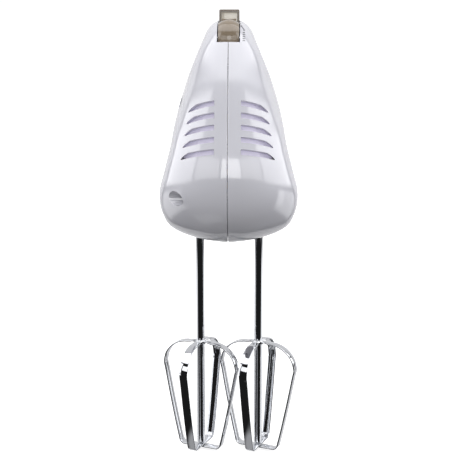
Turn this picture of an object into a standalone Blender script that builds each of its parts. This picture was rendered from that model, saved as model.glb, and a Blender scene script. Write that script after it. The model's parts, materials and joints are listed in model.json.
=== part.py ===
"""Hand mixer: clamshell body, speed dial, beater ejector, universal motor, worm drive and two beaters.

Lengths are millimetres until add_piece turns them into metres. Across the body is x, y runs back from
the plane of the two beaters, and h runs up from the flat underside. The scene's origin is the middle of
the hand grip, which lies GRIP_Y behind the beaters and GRIP_H above the underside.
"""

import math

import bmesh
import bpy
import numpy as np
from mathutils import Matrix, Vector

MM = 0.001
GRIP_Y = 56.0
GRIP_H = 125.5
GAP = 0.3

# Driving sizes of the body and its controls.
WALL = 2.2
HEEL_Y = 140.0
DIAL_Y, DIAL_H = -15.4, 127.4
DIAL_RADIUS = 12.6
DIAL_CROWN = 2.6
DIAL_WIDTH = 13.4
KEY_TOP_H = 147.0
KEY_WIDTH = 13.2
VENT_COUNT = 5
VENT_INNER_X = 8.2
VENT_OUTER_X = (25.2, 29.4)
VENT_HS = (88.5, 59.1)
VENT_HEIGHT = 3.5
VENT_TILT = math.radians(22.0)
SCREEN_X = (4.5, 31.5)
SCREEN_H = (53.5, 93.0)
SCREEN_DEPTHS = (3.2, 4.4)

# Driving sizes of the drive and the beaters.
BEATER_X = 20.0
MOTOR_H = 38.0
WORM_PITCH_RADIUS = 5.0
WORM_STARTS = 2
GEAR_TEETH = 22
GEAR_PITCH_RADIUS = BEATER_X - WORM_PITCH_RADIUS
GEAR_WIDTH = 9.0
SPINDLE_RADIUS = 5.0
BORE_RADIUS = 3.4
ROD_RADIUS = 3.1
ROD_TOP_H = 30.0
PUSH_PIN_TOP_H = 52.0
CAGE_TOP_H = -77.5
CAGE_DEPTH = 75.0
CAGE_RADIUS = 27.4
CAGE_FOOT_RADIUS = 15.4
STRIP_WIDTH = 6.0
STRIP_THICKNESS = 1.0
CAGE_PHASE = math.radians(22.5)

# Side view, station by station round the finger hole, starting at the nose and going down:
# outer y and h, inner y and h, then how far the side rounds off from the outer and the inner edge.
STATIONS = (
    (-59.5, 42.0, 7.0, 82.0, 48.0, 16.0),
    (-54.0, 14.0, 12.0, 75.0, 42.0, 18.0),
    (-33.0, -3.0, 20.0, 71.0, 16.0, 20.0),
    (5.0, -4.0, 34.0, 70.0, 6.0, 22.0),
    (50.0, -4.0, 56.0, 70.0, 6.0, 22.0),
    (98.0, -4.0, 84.0, 70.5, 8.0, 20.0),
    (131.0, 3.0, 98.0, 74.0, 16.0, 16.0),
    (143.0, 28.0, 104.0, 81.0, 20.0, 14.0),
    (143.5, 62.0, 106.0, 89.0, 20.0, 14.0),
    (140.0, 97.0, 104.5, 98.0, 18.0, 14.0),
    (127.0, 123.0, 98.0, 105.5, 15.0, 13.0),
    (98.0, 135.5, 84.0, 109.0, 13.5, 13.0),
    (56.0, 141.5, 56.0, 109.5, 16.0, 15.0),
    (20.0, 142.2, 30.0, 109.0, 16.0, 15.0),
    (-8.0, 140.2, 15.0, 106.0, 14.0, 14.0),
    (-27.5, 130.5, 9.0, 100.0, 24.0, 12.0),
    (-42.0, 104.0, 6.5, 93.0, 42.0, 12.0),
    (-52.0, 74.0, 6.0, 87.0, 48.0, 13.0),
)
FRONT_HALF_WIDTHS = (
    (-4.0, 22.0), (0.0, 26.0), (2.0, 30.6), (7.0, 37.6), (15.0, 42.2), (29.5, 44.8), (44.0, 41.6),
    (60.0, 37.6), (75.0, 35.0), (90.0, 31.6), (105.0, 26.4), (120.0, 20.2), (130.0, 16.4), (143.0, 15.0),
)
REAR_HALF_WIDTHS = (
    (-4.0, 18.0), (4.0, 27.0), (20.0, 34.0), (35.0, 35.5), (60.0, 32.0), (75.0, 26.0), (92.0, 19.5),
    (108.0, 16.2), (124.0, 16.0), (143.0, 15.6),
)
REAR_BLEND_Y = (0.0, 55.0)
STEPS_ROUND = 50
STEPS_ACROSS = 9
NOSE_TURNS = (43, 53)
NOSE_STEP = 4

# Screws through the left shell into the right: name, y, h.
SHELL_SCREWS = (
    ("nose_screw", -45.2, 28.6),
    ("column_screw", -12.0, 86.0),
    ("rear_upper_screw", 120.0, 107.0),
    ("rear_lower_screw", 122.0, 17.0),
)
SCREW_RECESS_RADIUS = 4.6
SCREW_FLOOR_X = -9.0
BOSS_RADIUS = 6.4


def clear_scene():
    for thing in list(bpy.data.objects):
        bpy.data.objects.remove(thing, do_unlink=True)


def make_material(name, colour, roughness, metallic=0.0):
    material = bpy.data.materials.new(name)
    material.use_nodes = True
    shader = material.node_tree.nodes["Principled BSDF"]
    shader.inputs["Base Color"].default_value = (*colour, 1.0)
    shader.inputs["Roughness"].default_value = roughness
    shader.inputs["Metallic"].default_value = metallic
    material.diffuse_color = (*colour, 1.0)
    return material


def body_point(x, y, h):
    return Vector((x, y - GRIP_Y, h - GRIP_H)) * MM


def add_piece(name, shape, material, pivot=(0.0, GRIP_Y, GRIP_H)):
    """Turns a millimetre shape into an object whose origin is the pivot."""
    bmesh.ops.recalc_face_normals(shape, faces=shape.faces)
    shape.transform(Matrix.Scale(MM, 4) @ Matrix.Translation(-Vector(pivot)))
    mesh = bpy.data.meshes.new(name)
    shape.to_mesh(mesh)
    shape.free()
    mesh.shade_smooth()
    mesh.set_sharp_from_angle(angle=math.radians(35.0))
    piece = bpy.data.objects.new(name, mesh)
    bpy.context.scene.collection.objects.link(piece)
    piece.location = body_point(*pivot)
    mesh.materials.append(material)
    return piece


def add_helper(name, shape):
    """A cutter or a joined-on shape, left out of renders."""
    helper = add_piece(name, shape, None)
    helper.hide_render = True
    helper.display_type = "WIRE"
    return helper


def add_boolean(piece, helper, operation):
    modifier = piece.modifiers.new(helper.name, "BOOLEAN")
    modifier.operation = operation
    modifier.object = helper
    modifier.solver = "EXACT"


def cut(piece, name, shape):
    add_boolean(piece, add_helper(name, shape), "DIFFERENCE")


def weld(piece, name, shape):
    add_boolean(piece, add_helper(name, shape), "UNION")


def join(shapes):
    """One shape out of several separate ones."""
    whole = shapes[0]
    for other in shapes[1:]:
        mesh = bpy.data.meshes.new("joined")
        other.to_mesh(mesh)
        whole.from_mesh(mesh)
        bpy.data.meshes.remove(mesh)
        other.free()
    return whole


def block(low, high, bevel=0.0):
    shape = bmesh.new()
    middle = (Vector(low) + Vector(high)) / 2.0
    size = Vector(high) - Vector(low)
    bmesh.ops.create_cube(shape, size=1.0, matrix=Matrix.Translation(middle) @ Matrix.Diagonal((*size, 1.0)))
    if bevel:
        bmesh.ops.bevel(shape, geom=shape.edges[:], offset=bevel, segments=2, profile=0.5, affect="EDGES")
    return shape


AXIS_TURNS = {
    "X": Matrix.Rotation(math.pi / 2.0, 4, "Y"),
    "Y": Matrix.Rotation(-math.pi / 2.0, 4, "X"),
    "Z": Matrix.Identity(4),
}


def turned(profile, axis, centre, steps=20, ring=False):
    """A turned solid. The profile holds (radius, distance along the axis); a ring's profile closes on itself."""
    shape = bmesh.new()
    angles = [2.0 * math.pi * step / steps for step in range(steps)]
    rings = []
    for radius, along in profile:
        rings.append([shape.verts.new((radius * math.cos(a), radius * math.sin(a), along)) for a in angles])
    if ring:
        pairs = list(zip(rings, rings[1:] + rings[:1]))
    else:
        pairs = list(zip(rings, rings[1:]))
        shape.faces.new(rings[0])
        shape.faces.new(rings[-1])
    for near, far in pairs:
        for step in range(steps):
            after = (step + 1) % steps
            shape.faces.new((near[step], near[after], far[after], far[step]))
    bmesh.ops.recalc_face_normals(shape, faces=shape.faces)
    shape.transform(Matrix.Translation(centre) @ AXIS_TURNS[axis])
    return shape


def rod(radius, axis, centre, low, high, steps=20):
    return turned(((radius, low), (radius, high)), axis, centre, steps)


def tube(inner, outer, axis, centre, low, high, steps=24):
    return turned(((inner, low), (outer, low), (outer, high), (inner, high)), axis, centre, steps, ring=True)


def twisted(outline, axis, centre, low, high, turn, layers):
    """A prism of a polar outline that turns as it rises, for helical teeth."""
    shape = bmesh.new()
    rings = []
    for layer in range(layers + 1):
        share = layer / layers
        along = low + (high - low) * share
        rings.append([
            shape.verts.new((radius * math.cos(a + turn * share), radius * math.sin(a + turn * share), along))
            for radius, a in outline
        ])
    for near, far in zip(rings, rings[1:]):
        for step in range(len(outline)):
            after = (step + 1) % len(outline)
            shape.faces.new((near[step], near[after], far[after], far[step]))
    shape.faces.new(rings[0])
    shape.faces.new(rings[-1])
    bmesh.ops.recalc_face_normals(shape, faces=shape.faces)
    shape.transform(Matrix.Translation(centre) @ AXIS_TURNS[axis])
    return shape


def tooth_outline(count, root, tip, share=0.3, phase=0.0):
    """Trapezoid teeth: tip land, root land and two flanks for each."""
    outline = []
    for tooth in range(count):
        middle = 2.0 * math.pi * tooth / count + phase
        pitch = 2.0 * math.pi / count
        outline.append((root, middle - pitch * (0.5 - share * 0.5)))
        outline.append((tip, middle - pitch * share * 0.42))
        outline.append((tip, middle + pitch * share * 0.42))
        outline.append((root, middle + pitch * (0.5 - share * 0.5)))
    return outline


def through_points(points, value):
    """A smooth curve through (place, height) points, read at one place."""
    places = [place for place, _ in points]
    heights = [height for _, height in points]
    value = min(max(value, places[0]), places[-1])
    slopes = np.gradient(heights, places)
    index = min(int(np.searchsorted(places, value, side="right")), len(places) - 1)
    low, high = index - 1, index
    span = places[high] - places[low]
    share = (value - places[low]) / span
    rest = 1.0 - share
    return (
        heights[low] * (1.0 + 2.0 * share) * rest**2
        + slopes[low] * span * share * rest**2
        + heights[high] * share**2 * (3.0 - 2.0 * share)
        - slopes[high] * span * share**2 * rest
    )


def station_at(place):
    """The six values of STATIONS at a place round the hole, on a closed Catmull-Rom curve."""
    count = len(STATIONS)
    index = int(math.floor(place)) % count
    share = place - math.floor(place)
    before, near, far, after = (np.array(STATIONS[(index + step) % count]) for step in (-1, 0, 1, 2))
    return 0.5 * (
        2.0 * near
        + (far - before) * share
        + (2.0 * before - 5.0 * near + 4.0 * far - after) * share**2
        + (3.0 * near - before - 3.0 * far + after) * share**3
    )


def half_width(y, h):
    front = through_points(FRONT_HALF_WIDTHS, h)
    rear = through_points(REAR_HALF_WIDTHS, h)
    share = min(max((y - REAR_BLEND_Y[0]) / (REAR_BLEND_Y[1] - REAR_BLEND_Y[0]), 0.0), 1.0)
    share = share**2 * (3.0 - 2.0 * share)
    return front + (rear - front) * share


def edge_rounding(distance, depth):
    return math.sqrt(1.0 - (1.0 - distance / depth) ** 2) if distance < depth else 1.0


def shell_skin(steps_round, steps_across):
    """Points of the body's outer skin on the +x side, from the hole's edge to the outer edge."""
    skin = np.empty((steps_round, steps_across + 1, 3))
    for turn in range(steps_round):
        outer_y, outer_h, inner_y, inner_h, outer_depth, inner_depth = station_at(
            turn * len(STATIONS) / steps_round
        )
        length = math.hypot(outer_y - inner_y, outer_h - inner_h)
        for step in range(steps_across + 1):
            share = (1.0 - math.cos(math.pi * step / steps_across)) / 2.0
            y = inner_y + (outer_y - inner_y) * share
            h = inner_h + (outer_h - inner_h) * share
            rounding = edge_rounding(length * share, inner_depth)
            rounding *= edge_rounding(length * (1.0 - share), outer_depth)
            x = half_width(y, max(h, 0.0)) * rounding
            skin[turn, step] = (x, min(y, HEEL_Y), max(h, 0.0))
    return skin


def skin_normals(skin):
    """Outward normals, with the skin mirrored over the seam so that the seam's normals lie in its plane."""
    along = np.roll(skin, -1, axis=0) - np.roll(skin, 1, axis=0)
    mirror = np.array((-1.0, 1.0, 1.0))
    padded = np.concatenate([skin[:, 1:2] * mirror, skin, skin[:, -2:-1] * mirror], axis=1)
    across = padded[:, 2:] - padded[:, :-2]
    normals = np.cross(along, across)
    normals /= np.linalg.norm(normals, axis=2, keepdims=True)
    outward = normals[:, normals.shape[1] // 2, 0].mean()
    return normals if outward > 0.0 else -normals


def skin_grid(shape, points, side):
    """Adds a grid of points to the shape, mirrored to its side, and gives back its vertices."""
    return [[shape.verts.new((side * x, y, h)) for x, y, h in row] for row in points]


def grid_faces(shape, grid):
    for turn in range(len(grid)):
        near, far = grid[turn], grid[(turn + 1) % len(grid)]
        for step in range(len(near) - 1):
            shape.faces.new((near[step], far[step], far[step + 1], near[step + 1]))


def seam_faces(shape, first, second):
    """A ring of faces between two closed rows of vertices."""
    for turn in range(len(first)):
        after = (turn + 1) % len(first)
        shape.faces.new((first[turn], first[after], second[after], second[turn]))


def inset_skin(depth):
    skin = shell_skin(STEPS_ROUND, STEPS_ACROSS)
    points = skin - skin_normals(skin) * depth
    points[:, :, 0] = np.maximum(points[:, :, 0], GAP / 2.0)
    points[:, (0, -1), 0] = GAP / 2.0
    return points


def half_shell(side):
    """One half of the body: outer skin, inner skin and the two seam rims."""
    shape = bmesh.new()
    outer = skin_grid(shape, inset_skin(0.0), side)
    inner = skin_grid(shape, inset_skin(WALL), side)
    grid_faces(shape, outer)
    grid_faces(shape, inner)
    for edge in (0, -1):
        seam_faces(shape, [row[edge] for row in outer], [row[edge] for row in inner])
    return shape


def half_envelope(side):
    """The closed volume inside the middle of one half's wall, which trims its bosses."""
    shape = bmesh.new()
    skin = skin_grid(shape, inset_skin(WALL / 2.0), side)
    grid_faces(shape, skin)
    seam_faces(shape, [row[0] for row in skin], [row[-1] for row in skin])
    return shape


def nose_line(h):
    """How far forward the nose reaches at a height."""
    heights = sorted((outer_h, outer_y) for outer_y, outer_h, *_ in STATIONS if outer_y < -20.0)
    return through_points(heights, h)


def vent_cutters(side):
    slots = []
    for slot in range(VENT_COUNT):
        share = slot / (VENT_COUNT - 1)
        h = VENT_HS[0] + (VENT_HS[1] - VENT_HS[0]) * share
        outer_x = VENT_OUTER_X[0] + (VENT_OUTER_X[1] - VENT_OUTER_X[0]) * share
        half_length = (outer_x - VENT_INNER_X) / 2.0
        middle = side * (VENT_INNER_X + half_length)
        shape = block((-half_length, -6.0, -VENT_HEIGHT / 2.0), (half_length, 26.0, VENT_HEIGHT / 2.0))
        edges = [edge for edge in shape.edges if abs(edge.verts[0].co.y - edge.verts[1].co.y) > 1.0]
        outer_edges = [edge for edge in edges if edge.verts[0].co.x * side > 0.0]
        bmesh.ops.bevel(
            shape, geom=outer_edges, offset=VENT_HEIGHT * 0.45, segments=2, profile=0.5, affect="EDGES"
        )
        shape.transform(Matrix.Translation((middle, nose_line(h), h)) @ Matrix.Rotation(-VENT_TILT, 4, "X"))
        slots.append(shape)
    return slots


def nose_slab(side, near_depth, far_depth):
    """A closed slab under the skin of the nose, between two depths."""
    rows = [turn % STEPS_ROUND for turn in range(*NOSE_TURNS)]
    shape = bmesh.new()
    near, far = (
        [[shape.verts.new((side * x, y, h)) for x, y, h in skin[row, NOSE_STEP:]] for row in rows]
        for skin in (inset_skin(near_depth), inset_skin(far_depth))
    )
    for layer in (near, far):
        for low, high in zip(layer, layer[1:]):
            for step in range(len(low) - 1):
                shape.faces.new((low[step], high[step], high[step + 1], low[step + 1]))
    for end in (0, -1):
        for step in range(len(near[end]) - 1):
            shape.faces.new((near[end][step], far[end][step], far[end][step + 1], near[end][step + 1]))
        for row in range(len(rows) - 1):
            shape.faces.new((near[row][end], far[row][end], far[row + 1][end], near[row + 1][end]))
    bmesh.ops.recalc_face_normals(shape, faces=shape.faces)
    if shape.calc_volume(signed=True) < 0.0:
        bmesh.ops.reverse_faces(shape, faces=shape.faces)
    return shape


def dial_sockets(side):
    return rod(4.0, "X", (0.0, DIAL_Y, DIAL_H), side * 7.9, side * 40.0, 16)


def shell_cutters(side):
    cutters = vent_cutters(side)
    cutters.append(block((-7.3, -34.0, 125.1), (7.3, 4.2, 152.0)))
    cutters.append(rod(7.3, "Z", (side * BEATER_X, 0.0, 0.0), -6.0, 5.0, 24))
    cutters.append(rod(4.9, "Y", (0.0, HEEL_Y, 88.0), -8.0, 6.0))
    cutters.append(rod(2.3, "X", (0.0, DIAL_Y, DIAL_H), side * 7.5, side * 11.9, 16))
    for _, y, h in SHELL_SCREWS:
        if side < 0:
            cutters.append(rod(SCREW_RECESS_RADIUS, "X", (0.0, y, h), SCREW_FLOOR_X, -70.0))
            cutters.append(rod(1.9, "X", (0.0, y, h), 1.0, SCREW_FLOOR_X - 1.0, 12))
        else:
            cutters.append(rod(1.8, "X", (0.0, y, h), -1.0, 10.5, 12))
    return cutters


def make_shell(name, side, material):
    shell = add_piece(name, half_shell(side), material)
    envelope = add_helper(name + "_envelope", half_envelope(side))
    bosses = [rod(BOSS_RADIUS, "X", (0.0, y, h), side * GAP / 2.0, side * 70.0) for _, y, h in SHELL_SCREWS]
    bosses.append(dial_sockets(side))
    boss_shapes = add_helper(name + "_bosses", join(bosses))
    add_boolean(boss_shapes, envelope, "INTERSECT")
    add_boolean(shell, boss_shapes, "UNION")
    for number, cutter in enumerate(shell_cutters(side)):
        cut(shell, f"{name}_cut_{number}", cutter)
    return shell


def make_vent_screens(material):
    """A splash screen behind each half's slots, which lets the air past above, below and beside it."""
    for name, side in (("left_vent_screen", -1.0), ("right_vent_screen", 1.0)):
        screen = add_piece(name, nose_slab(side, *SCREEN_DEPTHS), material)
        ends = sorted((side * SCREEN_X[0], side * SCREEN_X[1]))
        reach = block((ends[0], -70.0, SCREEN_H[0]), (ends[1], -19.0, SCREEN_H[1]))
        add_boolean(screen, add_helper(name + "_reach", reach), "INTERSECT")


def make_screws(material):
    """Pan-head screws along x: head on the recess floor, shank through the left boss into the right."""
    for name, y, h in SHELL_SCREWS:
        head = SCREW_FLOOR_X - GAP
        profile = ((1.2, 9.8), (1.5, 9.0), (1.5, head), (3.3, head), (3.3, head - 1.4), (2.4, head - 2.4))
        screw = add_piece(name, turned(profile, "X", (0.0, y, h), 16), material)
        cross = block((head - 3.0, y - 1.9, h - 0.35), (head - 1.2, y + 1.9, h + 0.35))
        other = block((head - 3.0, y - 0.35, h - 1.9), (head - 1.2, y + 0.35, h + 1.9))
        cut(screw, name + "_slot", cross)
        cut(screw, name + "_cross", other)


def make_rear_fittings(plastic, rubber, steel):
    """Heel pad, cord gland, and the clamp with its two screws that holds the cord inside."""
    pad = block((-14.0, HEEL_Y + GAP, 24.0), (14.0, HEEL_Y + 3.4, 76.0))
    upright = [edge for edge in pad.edges if abs(edge.verts[0].co.y - edge.verts[1].co.y) > 1.0]
    bmesh.ops.bevel(pad, geom=upright, offset=6.0, segments=4, profile=0.5, affect="EDGES")
    add_piece("heel_pad", pad, rubber)
    gland = (
        (3.0, -6.0), (4.4, -6.0), (5.6, -5.6), (5.6, -2.9), (4.6, -2.9),
        (4.6, GAP), (6.6, GAP), (6.6, 1.4), (5.4, 2.4), (3.4, 2.4), (3.0, 1.8),
    )
    add_piece("cord_gland", turned(gland, "Y", (0.0, HEEL_Y, 88.0), 16, ring=True), rubber)
    clamp = block((-9.0, 119.0, 79.0), (9.0, 125.0, 82.0), 0.6)
    piece = add_piece("cord_clamp", clamp, plastic)
    for name, x in (("left_clamp_hole", -6.5), ("right_clamp_hole", 6.5)):
        cut(piece, name, rod(1.5, "Z", (x, 122.0, 0.0), 78.0, 84.0, 12))
    for name, x in (("left_clamp_screw", -6.5), ("right_clamp_screw", 6.5)):
        profile = ((1.1, 75.0), (1.1, 82.3), (2.5, 82.3), (2.5, 83.4), (1.7, 84.2))
        add_piece(name, turned(profile, "Z", (x, 122.0, 0.0), 12), steel)


def make_dial(taupe, steel):
    """Crowned thumb wheel with a pointer ridge, on a pin across the nose."""
    half = DIAL_WIDTH / 2.0
    shares = (-1.0, -0.66, -0.33, 0.0, 0.33, 0.66, 1.0)
    crown = [(DIAL_RADIUS - DIAL_CROWN * share**2, half * share) for share in shares]
    centre = (0.0, DIAL_Y, DIAL_H)
    wheel = turned([(2.3, -half), *crown, (2.3, half)], "X", centre, 28, ring=True)
    dial = add_piece("speed_dial", wheel, taupe, centre)
    ridge = block((-4.6, -0.7, DIAL_RADIUS - 3.0), (4.6, 0.7, DIAL_RADIUS + 0.3), 0.3)
    ridge.transform(Matrix.Translation(centre) @ Matrix.Rotation(math.radians(-6.0), 4, "X"))
    weld(dial, "dial_ridge", ridge)
    add_piece("dial_axle", rod(2.0, "X", (0.0, DIAL_Y, DIAL_H), -11.5, 11.5, 16), steel)


def make_switch(plastic, steel):
    """Speed switch in the column, with the leaf that drops into the dial's detents."""
    add_piece("speed_switch", block((-8.0, -26.0, 98.0), (8.0, -6.0, 107.5), 0.8), plastic)
    leaf = block((-3.0, -24.0, 107.8), (3.0, -8.0, 108.2))
    bmesh.ops.subdivide_edges(leaf, edges=[e for e in leaf.edges if e.calc_length() > 10.0], cuts=8)
    for vertex in leaf.verts:
        vertex.co.z += 4.0 * math.cos((vertex.co.y + 16.0) / 8.0 * math.pi / 2.0)
    add_piece("detent_spring", leaf, steel)
    board = add_piece("circuit_board", block((-18.0, 108.0, 20.0), (18.0, 109.6, 58.0)), plastic)
    parts = [
        block((-14.0, 101.0, 26.0), (-2.0, 108.8, 40.0), 0.6),
        rod(5.0, "Y", (8.0, 0.0, 46.0), 98.0, 108.8, 16),
        rod(2.5, "Y", (-8.0, 0.0, 50.0), 102.0, 108.8, 12),
    ]
    weld(board, "board_parts", join(parts))


def make_ejector(taupe, plastic, steel):
    """Key at the top, its blade and plate down the column, the two pins that push the beaters, and the spring."""
    half = KEY_WIDTH / 2.0
    key = block((-half, -2.2, 129.0), (half, 3.6, KEY_TOP_H))
    rims = [edge for edge in key.edges if min(vertex.co.z for vertex in edge.verts) > KEY_TOP_H - 1.0]
    bmesh.ops.bevel(key, geom=rims, offset=1.1, segments=2, profile=0.5, affect="EDGES")
    key_piece = add_piece("eject_key", key, taupe)
    recess = block((-half + 1.2, -6.0, 131.0), (half - 1.2, -1.4, KEY_TOP_H - 1.4))
    cut(key_piece, "key_recess", recess)
    blade = add_piece("eject_plate", block((-4.0, -2.2, 60.5), (4.0, 0.1, 128.7)), plastic)
    deck = block((-25.5, -7.0, 60.0), (25.5, 7.0, 62.6), 0.5)
    fingers = [rod(2.9, "Z", (side * BEATER_X, 0.0, 0.0), PUSH_PIN_TOP_H + GAP, 60.8, 16) for side in (-1.0, 1.0)]
    weld(blade, "ejector_deck", deck)
    weld(blade, "ejector_fingers", join(fingers))
    for name, x in (("left_push_pin", -BEATER_X), ("right_push_pin", BEATER_X)):
        pin = rod(2.9, "Z", (x, 0.0, 0.0), ROD_TOP_H + GAP, PUSH_PIN_TOP_H, 16)
        add_piece(name, pin, steel, (x, 0.0, PUSH_PIN_TOP_H))
    coil_radius, wire, low, high, turns = 4.0, 0.35, 51.8, 59.2, 2.5
    steps = 35
    spring = bmesh.new()
    rings = []
    for step in range(steps + 1):
        a = 2.0 * math.pi * turns * step / steps
        h = low + (high - low) * step / steps
        ring = []
        for corner in range(5):
            b = 2.0 * math.pi * corner / 5.0
            radius = coil_radius + wire * math.cos(b)
            ring.append(spring.verts.new((radius * math.cos(a), radius * math.sin(a), h + wire * math.sin(b))))
        rings.append(ring)
    for near, far in zip(rings, rings[1:]):
        for corner in range(5):
            after = (corner + 1) % 5
            spring.faces.new((near[corner], near[after], far[after], far[corner]))
    spring.faces.new(rings[0])
    spring.faces.new(rings[-1])
    add_piece("eject_spring", spring, steel)


def worm_lead():
    """Two thread starts, one gear tooth apart each."""
    return WORM_STARTS * 2.0 * math.pi * GEAR_PITCH_RADIUS / GEAR_TEETH


def gear_twist():
    """How far a gear's teeth turn over its width, to lie along the worm's threads."""
    return GEAR_WIDTH * worm_lead() / (2.0 * math.pi * WORM_PITCH_RADIUS * GEAR_PITCH_RADIUS)


def make_motor(lamination, copper, steel, plastic, brass, carbon):
    """Two-pole series motor along y: field, armature, commutator, brushes, fan and bearings."""
    axis = (0.0, 0.0, MOTOR_H)
    stator = block((-24.5, 32.0, MOTOR_H - 19.0), (24.5, 62.0, MOTOR_H + 19.0))
    long_edges = [edge for edge in stator.edges if abs(edge.verts[0].co.y - edge.verts[1].co.y) > 1.0]
    bmesh.ops.bevel(stator, geom=long_edges, offset=7.0, segments=2, profile=0.5, affect="EDGES")
    field = add_piece("field_core", stator, lamination)
    cut(field, "field_bore", rod(15.0, "Y", axis, 30.0, 64.0, 32))
    for number, (side, level) in enumerate(((-1, -1), (-1, 1), (1, -1), (1, 1))):
        ends = sorted((side * 16.0, side * 20.4))
        heights = sorted((MOTOR_H + level * 8.6, MOTOR_H + level * 12.9))
        window = block((ends[0], 30.0, heights[0]), (ends[1], 64.0, heights[1]))
        cut(field, f"field_window_{number}", window)
    for name, side in (("left_field_coil", -1.0), ("right_field_coil", 1.0)):
        ends = sorted((side * 16.3, side * 20.1))
        coil = block((ends[0], 27.3, MOTOR_H - 12.6), (ends[1], 66.7, MOTOR_H + 12.6))
        piece = add_piece(name, coil, copper)
        hole = block((-30.0, 31.6, MOTOR_H - 8.9), (30.0, 62.4, MOTOR_H + 8.9))
        cut(piece, name + "_hole", hole)
    turn = 2.0 * math.pi * 20.0 / worm_lead()
    threads = tooth_outline(WORM_STARTS, 3.6, 6.0, 0.36, -turn / 2.0)
    worm = twisted(threads, "Y", axis, -10.0, 10.0, turn, 28)
    shaft = add_piece("worm_shaft", worm, steel, axis)
    ends = [rod(2.5, "Y", axis, -19.5, -9.5, 16), rod(3.0, "Y", axis, 9.5, 98.0, 16)]
    weld(shaft, "shaft_ends", join(ends))
    core = twisted(tooth_outline(12, 11.8, 14.2, 0.62), "Y", axis, 32.5, 61.5, math.radians(12.0), 2)
    armature = add_piece("armature_core", core, lamination, axis)
    bore = rod(3.3, "Y", axis, 20.0, 90.0, 16)
    bore_helper = add_helper("shaft_bore", bore)
    add_boolean(armature, bore_helper, "DIFFERENCE")
    for name, low, way in (("front_winding", 32.2, -1.0), ("rear_winding", 61.8, 1.0)):
        bulge = ((3.4, 0.0), (12.0, 0.0), (13.2, 2.0), (12.4, 4.8), (8.0, 6.6), (3.4, 6.6))
        profile = [(radius, low + way * along) for radius, along in bulge]
        add_piece(name, turned(profile, "Y", axis, 24, ring=True), copper, axis)
    bars = twisted(tooth_outline(16, 8.2, 9.0, 0.86), "Y", axis, 71.0, 83.0, 0.0, 1)
    commutator = add_piece("commutator", bars, copper, axis)
    add_boolean(commutator, bore_helper, "DIFFERENCE")
    disc = ((3.3, 15.0), (6.0, 15.0), (6.0, 21.8), (19.0, 21.8), (19.0, 23.0), (3.3, 23.0))
    fan = turned(disc, "Y", axis, 24, ring=True)
    fan_piece = add_piece("cooling_fan", fan, plastic, axis)
    blades = []
    for number in range(9):
        blade = block((-0.5, 16.0, 5.6), (0.5, 22.2, 18.0))
        blade.transform(Matrix.Translation(axis) @ Matrix.Rotation(2.0 * math.pi * number / 9.0, 4, "Y"))
        blades.append(blade)
    weld(fan_piece, "fan_blades", join(blades))
    for name, low, bore_radius in (("front_bearing", -19.0, 2.8), ("rear_bearing", 90.0, 3.3)):
        add_piece(name, tube(bore_radius, 6.5, "Y", axis, low, low + 5.0), brass)
    brackets = (("front_bearing_bracket", -20.0, 10.0, 28.4), ("rear_bearing_bracket", 89.0, 22.0, 17.0))
    for name, low, half, foot in brackets:
        bracket = block((-half, low, foot), (half, low + 7.0, MOTOR_H + 9.5), 0.8)
        piece = add_piece(name, bracket, steel)
        cutter = rod(6.8, "Y", axis, low - 2.0, low + 9.0, 24)
        cut(piece, name + "_bore", cutter)
    for name, side in (("left_brush", -1.0), ("right_brush", 1.0)):
        ends = sorted((side * 9.3, side * 17.0))
        add_piece(name, block((ends[0], 74.6, MOTOR_H - 2.4), (ends[1], 79.4, MOTOR_H + 2.4)), carbon)
        ends = sorted((side * 11.0, side * 20.0))
        body = block((ends[0], 72.8, MOTOR_H - 4.0), (ends[1], 81.2, MOTOR_H + 4.0))
        piece = add_piece(name + "_holder", body, brass)
        ends = sorted((side * 10.0, side * 18.5))
        hollow = block((ends[0], 74.3, MOTOR_H - 2.7), (ends[1], 79.7, MOTOR_H + 2.7))
        cut(piece, name + "_channel", hollow)


def make_gearbox(plastic, steel, brass):
    """Lower frame with its posts, upper cover, four bushes, two spindles and two helical gears."""
    frame = add_piece("gear_frame", block((-38.5, -21.0, 24.0), (38.5, 13.5, 28.0), 0.6), plastic)
    posts = [rod(2.2, "Z", (x, y, 0.0), 27.0, 47.7, 12) for x in (-35.4, 35.4) for y in (-17.5, 10.5)]
    weld(frame, "frame_posts", join(posts))
    cover = add_piece("gear_cover", block((-36.0, -19.0, 48.0), (36.0, 12.5, 51.0), 0.5), plastic)
    for name, x in (("left", -BEATER_X), ("right", BEATER_X)):
        for piece, low in ((frame, 20.0), (cover, 46.0)):
            hole = rod(7.8, "Z", (x, 0.0, 0.0), low, low + 10.0)
            cut(piece, f"{piece.name}_{name}_hole", hole)
        for level, low, high in (("lower", 24.2, 28.6), ("upper", 47.4, 50.8)):
            add_piece(f"{name}_{level}_bush", tube(5.3, 7.5, "Z", (x, 0.0, 0.0), low, high), brass)
        gear_middle = (x, 0.0, MOTOR_H)
        half = GEAR_WIDTH / 2.0
        phase = -gear_twist() / 2.0 - math.pi / GEAR_TEETH
        outline = tooth_outline(GEAR_TEETH, GEAR_PITCH_RADIUS - 2.2, GEAR_PITCH_RADIUS + 0.9, 0.30, phase)
        gear = twisted(outline, "Z", gear_middle, -half, half, gear_twist(), 4)
        piece = add_piece(f"{name}_gear", gear, plastic, (x, 0.0, MOTOR_H))
        bore = add_helper(f"{name}_gear_bore", rod(5.3, "Z", (x, 0.0, 0.0), 30.0, 46.0))
        add_boolean(piece, bore, "DIFFERENCE")
        spindle = ((BORE_RADIUS, 5.0), (SPINDLE_RADIUS, 5.0), (SPINDLE_RADIUS, 51.0), (BORE_RADIUS, 51.0))
        add_piece(f"{name}_spindle", turned(spindle, "Z", (x, 0.0, 0.0), 20, ring=True), steel, (x, 0.0, MOTOR_H))


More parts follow.
